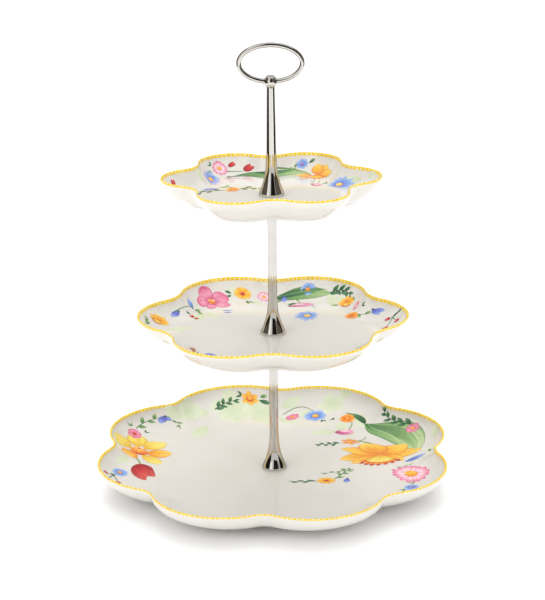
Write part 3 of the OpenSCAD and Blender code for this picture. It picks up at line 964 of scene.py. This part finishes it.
# %% Bottom plate: right side
def paint_bottom_right():
    p = Painting("bottom_great_daffodil", "bottom", 101, 97)
    daffodil(p, 4, 8, 41, turn=6, layer=3)
    p.ribbon([(8, 22), (4, 40), (-4, 60)], 2.2, "stem", 1)
    sprig(p, [(-18, -24), (-30, -31), (-42, -34)], 4, 5, "leaf", 1)
    sprig(p, [(30, -22), (38, -24), (44, -20)], 3, 4, "leaf", 1)

    p = Painting("bottom_great_leaf", "bottom", 124, 140)
    p.petal(-20, 26, -136, 84, 36, "pale_leaf", 2, widest=0.56, point=0.75, bend=0.14)
    p.petal(-20, 27, -133, 82, 15, "leaf", 3, widest=0.50, point=0.85, bend=0.26)
    p.petal(-19, 26, 14, 32, 7, "deep_leaf", 2, widest=0.35, point=0.9, bend=-0.25)
    p.petal(-16, 26, -152, 60, 3, "pale_leaf", 4, widest=0.4, point=0.6, bend=0.10)

    p = Painting("bottom_fern_sprig", "bottom", 127, 158)
    sprig(p, [(12, -16), (0, -2), (-4, 16)], 9, 7, "deep_leaf", 5, 0.7)

    p = Painting("bottom_pink_star", "bottom", 118, 154)
    flower(p, 0, 0, 7, 6, "pink", "yellow", slim=0.8, layer=5)
    leaf_pair(p, -4, -5, 120, 6)

    p = Painting("bottom_bud_and_bloom", "bottom", 146, 130)
    p.ribbon([(0, -20), (5, -8), (4, 3)], 1.0)
    flower(p, 0, 6, 8, 5, "orange", "yellow", slim=0.95, turn=20)
    p.petal(-13, -24, -82, 25, 11, "magenta", 2, widest=0.45, point=0.7)
    p.petal(-9, -21, -76, 18, 5, "blush", 3, widest=0.5, point=0.7)
    leaf_pair(p, -13, 7, 60, 5, "deep_leaf")

    p = Painting("bottom_star_and_vine", "bottom", 129, 100)
    flower(p, 0, 0, 9, 6, "orange", "yellow", slim=0.5, point=0.9)
    sprig(p, [(-8, -2), (-20, -6), (-32, -8)], 6, 6, "deep_leaf", 1, 0.6)
    p.ribbon([(8, 2), (14, 6), (17, 14)], 0.7)

    p = Painting("bottom_blue_bud", "bottom", 95, 137)
    p.petal(-10, -4, -62, 22, 9, "blue", 2, widest=0.5, point=0.75)
    p.petal(-6, -2, -58, 15, 4, "violet", 3, widest=0.5, point=0.8)
    leaf_pair(p, 12, 7, -40, 6, "deep_leaf")

    p = Painting("bottom_great_daisy", "bottom", 80, 133)
    flower(p, 0, 0, 18.5, 17, "blush", "yellow", slim=1.0, point=0.5)
    flower(p, 0, 0, 11, 13, "magenta", "orange", slim=0.14, point=0.7, layer=4)
    p.dab(0, 0, 6.4, "yellow", 6)
    for i in range(12):
        a = math.tau * i / 12
        p.dab(4.6 * math.cos(a), 4.6 * math.sin(a), 1.0, "orange", 7)

    p = Painting("bottom_small_blues", "bottom", 67, 133)
    flower(p, 0, 0, 7, 6, "blue", "violet", slim=0.8)
    leaf_pair(p, 4, 8, 10, 6)
    leaf_pair(p, -6, -3, 120, 6)

    p = Painting("bottom_front_sprig", "bottom", 66, 62)
    flower(p, -8, -8, 8, 6, "yellow", "red", slim=0.9)
    sprig(p, [(-14, -10), (-22, -12), (-31, -14)], 4, 6, "deep_leaf", 1, 0.7)
    sprig(p, [(-2, -4), (10, 10), (22, 16)], 6, 6, "leaf", 1, 0.7)
    bluebell(p, 10, -2, 10, 168)


paint_bottom_right()
lay_waiting("bottom plate, right:")

# %% Bottom plate: left side and back
def paint_bottom_left():
    p = Painting("bottom_left_daffodil", "bottom", -106, 133)
    p.petal(-8, 4, 60, 24, 19, "lemon", 2, point=0.7)
    p.petal(-2, 8, 8, 26, 20, "lemon", 2, point=0.7)
    p.petal(4, 6, -42, 26, 20, "lemon", 3, point=0.7)
    p.petal(4, -2, -92, 27, 18, "yellow", 3, point=0.7)
    p.petal(0, -6, -150, 24, 19, "lemon", 2, point=0.7)
    p.petal(-6, -4, 124, 22, 18, "yellow", 3, point=0.7)
    p.dab(-2, 0, 9, "orange", 4, 0.9)
    p.dab(-2, 0, 6, "yellow", 5, 0.9)
    for i in range(9):
        a = math.tau * i / 9
        p.dab(-2 + 6.5 * math.cos(a), 6 * math.sin(a), 1.1, "red", 6)

    p = Painting("bottom_left_tulip", "bottom", -86, 127)
    p.ribbon([(-16, 32), (-12, 20), (-8, 10)], 1.6, "stem", 1)
    tulip(p, -11, 14, 38, -142)

    p = Painting("bottom_left_pink", "bottom", -117, 150)
    flower(p, 0, 0, 7.5, 6, "pink", "red", slim=0.85)
    leaf_pair(p, -5, 9, 40, 6)
    leaf_pair(p, 9, 8, -30, 5, "deep_leaf")

    p = Painting("bottom_left_bell", "bottom", -131, 155)
    sprig(p, [(-18, -22), (-10, -8), (2, 6)], 5, 7, "leaf", 1, 0.7)
    bluebell(p, 2, 8, 12, 176)
    p.petal(0, 4, -68, 9, 5, "violet", 3)
    sprig(p, [(6, 4), (13, 6), (18, -2)], 3, 5, "leaf", 1, 0.6)

    p = Painting("bottom_left_blue", "bottom", -82, 146)
    flower(p, 0, 0, 8, 7, "blue", "yellow", slim=0.85)

    p = Painting("bottom_left_berries", "bottom", -76, 152)
    for x, y in ((-8, 3), (-3, -8), (7, -6)):
        p.ribbon([(0, 6), (x * 0.6, y * 0.5 + 3), (x, y)], 0.7, "deep_leaf", 1)
    berries(p, ((-8, 3), (-3, -8), (7, -6)), 2.6)
    leaf_pair(p, 0, 6, 20, 5, "deep_leaf")

    p = Painting("bottom_back_vine", "bottom", -161, 151)
    sprig(p, [(-10, -9), (-2, -1), (10, 7)], 7, 7, "deep_leaf", 1, 0.8)

    p = Painting("bottom_back_daffodil", "bottom", -171, 156)
    open_daffodil(p, 0, 0, 9.5, turn=10)
    leaf_pair(p, -8, 3, 80, 7, "deep_leaf")
    p.petal(9, 0, -100, 12, 6, "deep_leaf", 1, bend=-0.1)
    p.petal(10, 4, -60, 8, 4, "leaf", 1)

    p = Painting("bottom_back_daisies", "bottom", 166, 134)
    p.ribbon([(-22, 8), (-4, 14), (10, -2)], 0.9)
    flower(p, -13, -2, 7, 7, "pink", "yellow", slim=0.9)
    flower(p, 9, -6, 11.5, 12, "blue", "yellow", slim=0.9, point=0.5)
    leaf_pair(p, 15, -15, -150, 6, "deep_leaf")


paint_bottom_left()
lay_waiting("bottom plate, left and back:")

# %% Bottom plate: pale shadows
def paint_bottom_shadows():
    for name, angle, along, blooms, leaves in (
        ("left_back", -146, 140, ((-12, 12, 16),),
         ((10, -10, 150, 30), (-2, -14, 175, 22), (-20, 0, 70, 24))),
        ("back_left", -162, 140, ((2, 4, 24),),
         ((-22, -4, 90, 20), (18, 6, -40, 26), (20, -8, -110, 24))),
        ("back", -178, 138, ((-8, 0, 19),),
         ((10, -10, -120, 24), (12, 10, -60, 24), (-26, -10, 140, 18))),
        ("back_right", 156, 144, ((0, 8, 15),),
         ((-16, 0, 80, 22), (10, 12, -50, 20), (22, -10, -130, 28))),
        ("right", 143, 108, (), ((-4, 0, 100, 26), (0, 2, -10, 22), (4, -4, -80, 18))),
        ("left", -99, 153, (), ((0, 8, 20, 22), (0, -10, 160, 20))),
        ("far_right", 104, 158, (), ((0, -8, 160, 16), (0, 2, -20, 20))),
    ):
        p = Painting("bottom_shade_" + name, "bottom", angle, along)
        for x, y, size in blooms:
            for i in range(5):
                p.petal(x, y, 72 * i + 12, size, size * 0.72, "shade", -1 + i % 2, widest=0.6,
                        point=0.6)
        for x, y, turn, size in leaves:
            p.petal(x, y, turn, size, size * 0.55, "shade", -1, widest=0.5, point=0.8)


paint_bottom_shadows()
lay_waiting("bottom plate, shadows:")

# %% [markdown]
# ### Middle plate
# A large pink flower on the left and a long leaf behind the stem on the right carry this
# plate, with bluebells, small daisies and berries between them.

# %% Middle plate
def paint_middle():
    p = Painting("middle_pink_bloom", "middle", -146, 101)
    for a, size in ((38, 20), (-42, 20), (104, 18), (-108, 19), (176, 14)):
        p.petal(0, -1, a, size, size * 0.80, "pink", 2 + (a > 0), widest=0.62, point=0.55)
    p.dab(0, -1, 4.0, "orange", 4)
    for i in range(7):
        a = math.tau * i / 7
        p.dab(3.4 * math.cos(a), -1 + 3.4 * math.sin(a), 1.0, "blush" if i % 2 else "red", 5)
    p.petal(-22, 14, 42, 8, 3.6, "deep_leaf", 1)
    p.petal(10, -21, -88, 11, 3.2, "blue", 1)
    p.petal(11, -26, -92, 9, 2.6, "violet", 1)

    p = Painting("middle_yellow_bloom", "middle", -164, 106)
    flower(p, 0, 0, 8.2, 5, "yellow", "red", slim=0.9, turn=8)
    p.petal(-10, -2, 70, 7, 3.4, "deep_leaf", 1)
    p.petal(-10, -4, 130, 6, 3.0, "deep_leaf", 1)
    p.petal(4, -9, -160, 8, 3.4, "deep_leaf", 1)
    p.petal(6, -9, -120, 7, 3.0, "leaf", 1)

    p = Painting("middle_pink_daisy", "middle", -175, 104)
    flower(p, 0, 0, 6.6, 9, "blush", "yellow", slim=1.0, point=0.5)

    p = Painting("middle_great_leaf", "middle", 168, 105)
    p.petal(-22, 1, -92, 56, 17, "leaf", 2, widest=0.52, point=0.85, bend=0.05)
    p.petal(-20, 2, -92, 48, 8, "deep_leaf", 3, widest=0.45, point=0.85, bend=-0.02)
    p.ribbon([(-24, 2), (4, 2), (32, -3)], 0.8, "stem", 4)

    p = Painting("middle_blue_on_leaf", "middle", 162, 111)
    flower(p, 0, 0, 7.5, 6, "blue", "orange", slim=0.9)

    p = Painting("middle_hanging_bud", "middle", 163, 86)
    p.ribbon([(-22, 17), (-6, 16), (1, 4)], 1.3, "stem", 1)
    p.petal(-5, 6, 160, 9, 7, "deep_leaf", 3, widest=0.4)
    p.petal(-11, -2, -96, 25, 12, "magenta", 2, widest=0.5, point=0.6)
    p.petal(-8, -1, -92, 17, 5, "blush", 4, widest=0.5, point=0.6)
    p.ribbon([(8, 0), (12, -8), (15, -16)], 0.6, "stem", 1)

    p = Painting("middle_pale_daisy", "middle", 147, 57)
    flower(p, 0, -2, 13, 10, "blue", "lemon", slim=0.62, point=0.6)

    p = Painting("middle_small_bell", "middle", 173, 99)
    bluebell(p, 0, 6, 10, 180)
    p.petal(0, 5, 80, 7, 3.0, "leaf", 1)

    p = Painting("middle_vine", "middle", 144, 110)
    sprig(p, [(-14, 6), (2, 4), (12, -10)], 10, 7, "deep_leaf", 1, 0.8)

    p = Painting("middle_right_daffodil", "middle", 136, 101)
    daffodil(p, 0, 3, 11, turn=-10, layer=2)
    p.petal(-9, 2, 80, 8, 3, "leaf", 1)

    p = Painting("middle_right_bud", "middle", 127, 107)
    p.petal(-3, -5, -28, 12, 7, "pink", 2, widest=0.5, point=0.7)
    p.petal(-2, -4, -28, 9, 3, "blush", 3, widest=0.5, point=0.7)
    leaf_pair(p, 9, -4, -100, 6, "deep_leaf")

    p = Painting("middle_right_bells", "middle", 110, 109)
    sprig(p, [(-14, 14), (-8, 6), (0, 3)], 3, 6, "leaf", 1, 0.7)
    bluebell(p, 1, 7, 11, 176)
    p.petal(1, 6, -150, 11, 5, "violet", 3, widest=0.6)

    p = Painting("middle_right_berries", "middle", 97, 107)
    for x, y in ((-1, 7), (-7, -8), (5, -5)):
        p.ribbon([(10, 6), (4, 5), (x, y)], 0.7, "deep_leaf", 1)
    berries(p, ((-1, 7), (-7, -8), (5, -5)), 2.8)
    p.petal(9, 6, -100, 7, 3, "deep_leaf", 1)

    p = Painting("middle_floor_orange", "middle", 121, 95)
    flower(p, 0, 0, 7.5, 6, "orange", "brown", slim=1.0)

    p = Painting("middle_left_bells", "middle", -121, 105)
    p.ribbon([(-12, -10), (-4, 6), (8, 12)], 0.8)
    bluebell(p, -8, -4, 11, 170)
    bluebell(p, 8, 11, 12, 30, "blue")
    p.petal(10, 8, -60, 9, 4, "leaf", 1)
    p.petal(14, 10, -150, 9, 4, "leaf", 1)

    p = Painting("middle_left_yellow", "middle", -101, 107)
    daffodil(p, 0, 2, 11, turn=-12, layer=2)
    leaf_pair(p, -8, -8, 110, 7)
    p.petal(-6, -10, 150, 10, 4, "stem", 1)

    p = Painting("middle_left_berry", "middle", -121, 96)
    berries(p, ((-2, 1), (3, -2)), 2.6)
    p.petal(-4, 3, 60, 6, 2.6, "deep_leaf", 1)

    p = Painting("middle_front_right", "middle", 56, 106)
    flower(p, 0, 0, 9, 7, "blue", "yellow", slim=0.7)
    leaf_pair(p, -7, -4, 120, 6)

    p = Painting("middle_front_left", "middle", -50, 80)
    flower(p, 4, -10, 8, 6, "violet", "blue", slim=0.8)
    p.petal(-24, 8, -130, 16, 5, "brown", 1, bend=0.2)
    sprig(p, [(-12, -2), (-4, -8), (0, -10)], 3, 6, "leaf", 1, 0.7)

    for name, angle, along, leaves in (
        ("left", -132, 92, ((0, 0, 140, 24), (4, 0, -150, 20))),
        ("front_left", -99, 98, ((0, 0, 40, 22), (2, -6, -70, 24))),
        ("back", -170, 99, ((-6, 0, 60, 22), (6, 0, -40, 24), (0, -2, -160, 14))),
        ("right", 146, 92, ((0, 0, -70, 24), (0, 3, -20, 20))),
    ):
        p = Painting("middle_shade_" + name, "middle", angle, along)
        for x, y, turn, size in leaves:
            p.petal(x, y, turn, size, size * 0.5, "shade", -1, widest=0.5, point=0.8)


paint_middle()
lay_waiting("middle plate:")

# %% [markdown]
# ### Top plate
# A daffodil with a long leaf and a blue cornflower stand on the right; red tulips, a daisy
# and a pale blue flower stand on the left, with a leafy vine across the floor.

# %% Top plate
def paint_top():
    p = Painting("top_daffodil", "top", 150, 75)
    p.petal(-2, -1, 76, 15, 10, "yellow", 2, point=0.8)
    p.petal(2, -1, -10, 14, 12, "yellow", 3, point=0.7)
    p.petal(3, -2, -50, 15, 11, "yellow", 2, point=0.7)
    p.petal(2, -3, -84, 18, 11, "yellow", 4, point=0.7)
    p.petal(-2, -3, 128, 15, 9, "yellow", 2, point=0.85)
    p.fan(1, 0, 178, 1, 10, 120, "yellow", 4, frills=5)
    p.fan(1, 0, 178, 8.8, 11.6, 124, "orange", 5, frills=5)
    p.ribbon([(0, -12), (1, -18), (-1, -24)], 0.6)

    p = Painting("top_long_leaf", "top", -178, 80)
    p.petal(-34, -11, -76, 66, 13, "leaf", 2, widest=0.55, point=0.9, bend=0.10)
    p.petal(-12, -1, -88, 34, 5, "deep_leaf", 3, widest=0.5, point=0.9, bend=-0.03)
    p.ribbon([(6, 6), (20, 2), (34, -4)], 1.2, "stem", 3)

    p = Painting("top_cornflower_small", "top", 161, 87)
    flower(p, 0, 0, 6.2, 8, "blue", "violet", slim=0.7, point=0.9)
    sprig(p, [(-20, -3), (-12, -3), (-5, -1)], 4, 5, "leaf", 1, 0.6)
    p.petal(6, -1, -62, 7, 3.2, "deep_leaf", 1)

    p = Painting("top_cornflower", "top", 116, 76)
    flower(p, 0, 0, 11.5, 11, "blue", "lemon", slim=0.66, point=0.9)
    flower(p, 0, 0, 7.5, 8, "violet", "lemon", slim=0.5, point=0.9, layer=4)
    p.dab(0, 0, 2.8, "lemon", 7)
    leaf_pair(p, -10, 9, 60, 7)

    p = Painting("top_tulips", "top", -160, 85)
    tulip(p, 4, -4, 12.5, -30)
    tulip(p, -10, -3, 8.5, -40)
    p.ribbon([(-16, -8), (-8, -8), (3, -5)], 0.7, "deep_leaf", 1)
    leaf_pair(p, -13, -5, 60, 5, "deep_leaf")

    p = Painting("top_daisy", "top", -147, 85)
    flower(p, 0, 0, 8.2, 11, "blush", "yellow", slim=1.0, point=0.5)
    leaf_pair(p, -8, -8, 120, 7, "leaf")
    leaf_pair(p, -9, 0, 75, 5, "deep_leaf")
    leaf_pair(p, 8, -8, -130, 7, "leaf")

    p = Painting("top_pale_blue", "top", -133, 77)
    flower(p, 0, 0, 11, 6, "blue", "yellow", slim=0.8, point=0.6)

    p = Painting("top_left_blue", "top", -111, 64)
    flower(p, 0, 0, 6, 6, "violet", "blue", slim=0.8)
    sprig(p, [(4, 6), (12, 10), (18, 6)], 3, 5, "leaf", 1, 0.6)

    p = Painting("top_left_red", "top", -99, 88)
    tulip(p, 2, -4, 9, 40)

    p = Painting("top_floor_vine", "top", -119, 45)
    flower(p, 0, 0, 7.5, 6, "orange", "yellow", slim=0.9)
    sprig(p, [(-8, -2), (-20, -6), (-30, -12)], 5, 6, "deep_leaf", 1, 0.7)
    sprig(p, [(8, 1), (16, 3), (26, 2)], 4, 6, "deep_leaf", 1, 0.7)

    p = Painting("top_floor_pink", "top", 130, 57)
    p.petal(-8, 0, -88, 17, 7, "magenta", 2, widest=0.5, point=0.6)
    p.petal(-6, 1, -88, 12, 3, "blush", 3, widest=0.5, point=0.6)
    p.ribbon([(0, 4), (1, 9), (0, 14)], 0.6)

    p = Painting("top_floor_blossoms", "top", -148, 66)
    sprig(p, [(-6, 0), (2, 1), (10, 1)], 5, 3, "magenta", 1, 0.5)

    for name, angle, along, leaves in (
        ("left", -118, 76, ((-4, 4, 50, 18), (2, -4, -140, 18), (4, 6, -60, 16))),
        ("right", 106, 86, ((0, 0, 20, 16), (4, -4, -90, 14))),
        ("back", 165, 66, ((0, 0, -70, 20),)),
    ):
        p = Painting("top_shade_" + name, "top", angle, along)
        for x, y, turn, size in leaves:
            p.petal(x, y, turn, size, size * 0.5, "shade", -1, widest=0.5, point=0.8)


paint_top()
lay_waiting("top plate:")

# %% [markdown]
# ## Studio
# A pale floor, big soft lights, and a camera with a long lens. Polished metal shows what
# stands round it, so a few cards that only reflections see give the bells their dark middle
# with a bright strip, and the handle its dark edges.

# %% Floor
def build_floor():
    bm = bmesh.new()
    bmesh.ops.create_circle(bm, cap_ends=True, radius=14.0, segments=96)
    bm.normal_update()
    if sum(face.normal.z for face in bm.faces) < 0:
        bmesh.ops.reverse_faces(bm, faces=bm.faces[:])
    mesh = bpy.data.meshes.new("floor")
    bm.to_mesh(mesh)
    bm.free()
    floor = bpy.data.objects.new("floor", mesh)
    bpy.context.scene.collection.objects.link(floor)
    f = Finish("floor_white", Roughness=0.85, Base_Color=(0.96, 0.96, 0.96, 1.0))
    f.shader.inputs["Specular IOR Level"].default_value = 0.1
    mesh.materials.append(f.material)


build_floor()

# %% Lights
def soft_light(name, place, target, size, watts, colour=(1.0, 1.0, 1.0)):
    data = bpy.data.lights.new(name, "AREA")
    data.shape = "RECTANGLE"
    data.size, data.size_y = size
    data.energy = watts
    data.color = colour
    lamp = bpy.data.objects.new(name, data)
    bpy.context.scene.collection.objects.link(lamp)
    lamp.location = place
    lamp.rotation_mode = "QUATERNION"
    lamp.rotation_quaternion = (Vector(target) - Vector(place)).to_track_quat("-Z", "Y")
    lamp.visible_glossy = False


# Name, place, where it points, size, watts.
soft_light("top_box", (0.0, 0.3, 2.6), (0, 0, 0.2), (2.4, 2.0), 15)
soft_light("left_box", (-1.7, -1.9, 1.3), (0, 0, 0.2), (1.4, 1.6), 19, (1.0, 0.985, 0.96))
soft_light("right_box", (1.8, -1.8, 1.2), (0, 0, 0.2), (1.4, 1.6), 15)
soft_light("back_wash", (0.0, 4.5, 3.4), (0, 3.0, 0), (5.0, 3.0), 160)

world = bpy.data.worlds.new("studio")
bpy.context.scene.world = world
world.use_nodes = True
backdrop = world.node_tree.nodes["Background"]
backdrop.inputs["Color"].default_value = (0.98, 0.99, 1.0, 1.0)
backdrop.inputs["Strength"].default_value = 0.86
bpy.context.scene.view_settings.view_transform = "Standard"

# %% Cards for the metal to reflect
def card(name, azimuth_deg, distance, width, low_z, high_z, shade, glow=0.0):
    """A card that stands round the object and that only reflections see."""
    a = math.radians(azimuth_deg)
    centre = Vector((distance * math.sin(a), -distance * math.cos(a), (low_z + high_z) / 2))
    bm = bmesh.new()
    bmesh.ops.create_grid(bm, x_segments=1, y_segments=1, size=0.5)
    bmesh.ops.scale(bm, vec=(width, high_z - low_z, 1.0), verts=bm.verts[:])
    upright = Matrix.Rotation(a, 3, "Z") @ Matrix.Rotation(math.pi / 2, 3, "X")
    bmesh.ops.rotate(bm, verts=bm.verts[:], cent=(0, 0, 0), matrix=upright)
    bmesh.ops.translate(bm, verts=bm.verts[:], vec=centre)
    mesh = bpy.data.meshes.new(name)
    bm.to_mesh(mesh)
    bm.free()
    piece = bpy.data.objects.new(name, mesh)
    bpy.context.scene.collection.objects.link(piece)
    f = Finish(name + "_board", Roughness=1.0, Base_Color=(*shade, 1.0),
               Emission_Color=(1.0, 0.99, 0.97, 1.0), Emission_Strength=glow)
    f.shader.inputs["Specular IOR Level"].default_value = 0.0
    mesh.materials.append(f.material)
    piece.visible_camera = False
    piece.visible_diffuse = False
    piece.visible_shadow = False


black, umber, grey = (0.012, 0.010, 0.008), (0.10, 0.088, 0.072), (0.30, 0.29, 0.27)
# Name, direction in degrees from the front, distance, width, lower and upper edge, shade.
card("back_grey", 180, 1.7, 3.4, 0.15, 1.7, grey)
card("front_black", 16, 1.05, 0.95, 0.31, 2.4, black)
card("front_strip", -37, 1.0, 0.40, 0.31, 2.4, black, glow=1.3)
card("left_umber", -80, 1.0, 1.35, 0.36, 1.8, umber)
card("right_umber", 76, 1.0, 1.3, 0.36, 1.8, umber)
card("left_low", -76, 0.95, 1.15, 0.0, 0.36, black)
card("right_low", 86, 0.95, 0.92, 0.0, 0.36, black)
print("cards set")

# %% Camera
def set_camera():
    target = Vector((-0.0002, 0.0, 0.1755))
    distance, height_deg, roll_deg, lens = 1.657, 18.14, -0.57, 107.75
    h = math.radians(height_deg)
    back = Vector((0, -math.cos(h), math.sin(h)))
    data = bpy.data.cameras.new("camera")
    data.sensor_width = 36.0
    data.lens = lens
    data.clip_end = 60.0
    camera = bpy.data.objects.new("camera", data)
    bpy.context.scene.collection.objects.link(camera)
    camera.location = target + back * distance
    camera.rotation_mode = "QUATERNION"
    roll = Quaternion((0, 0, 1), math.radians(roll_deg))
    camera.rotation_quaternion = (-back).to_track_quat("-Z", "Y") @ roll
    bpy.context.scene.camera = camera


set_camera()
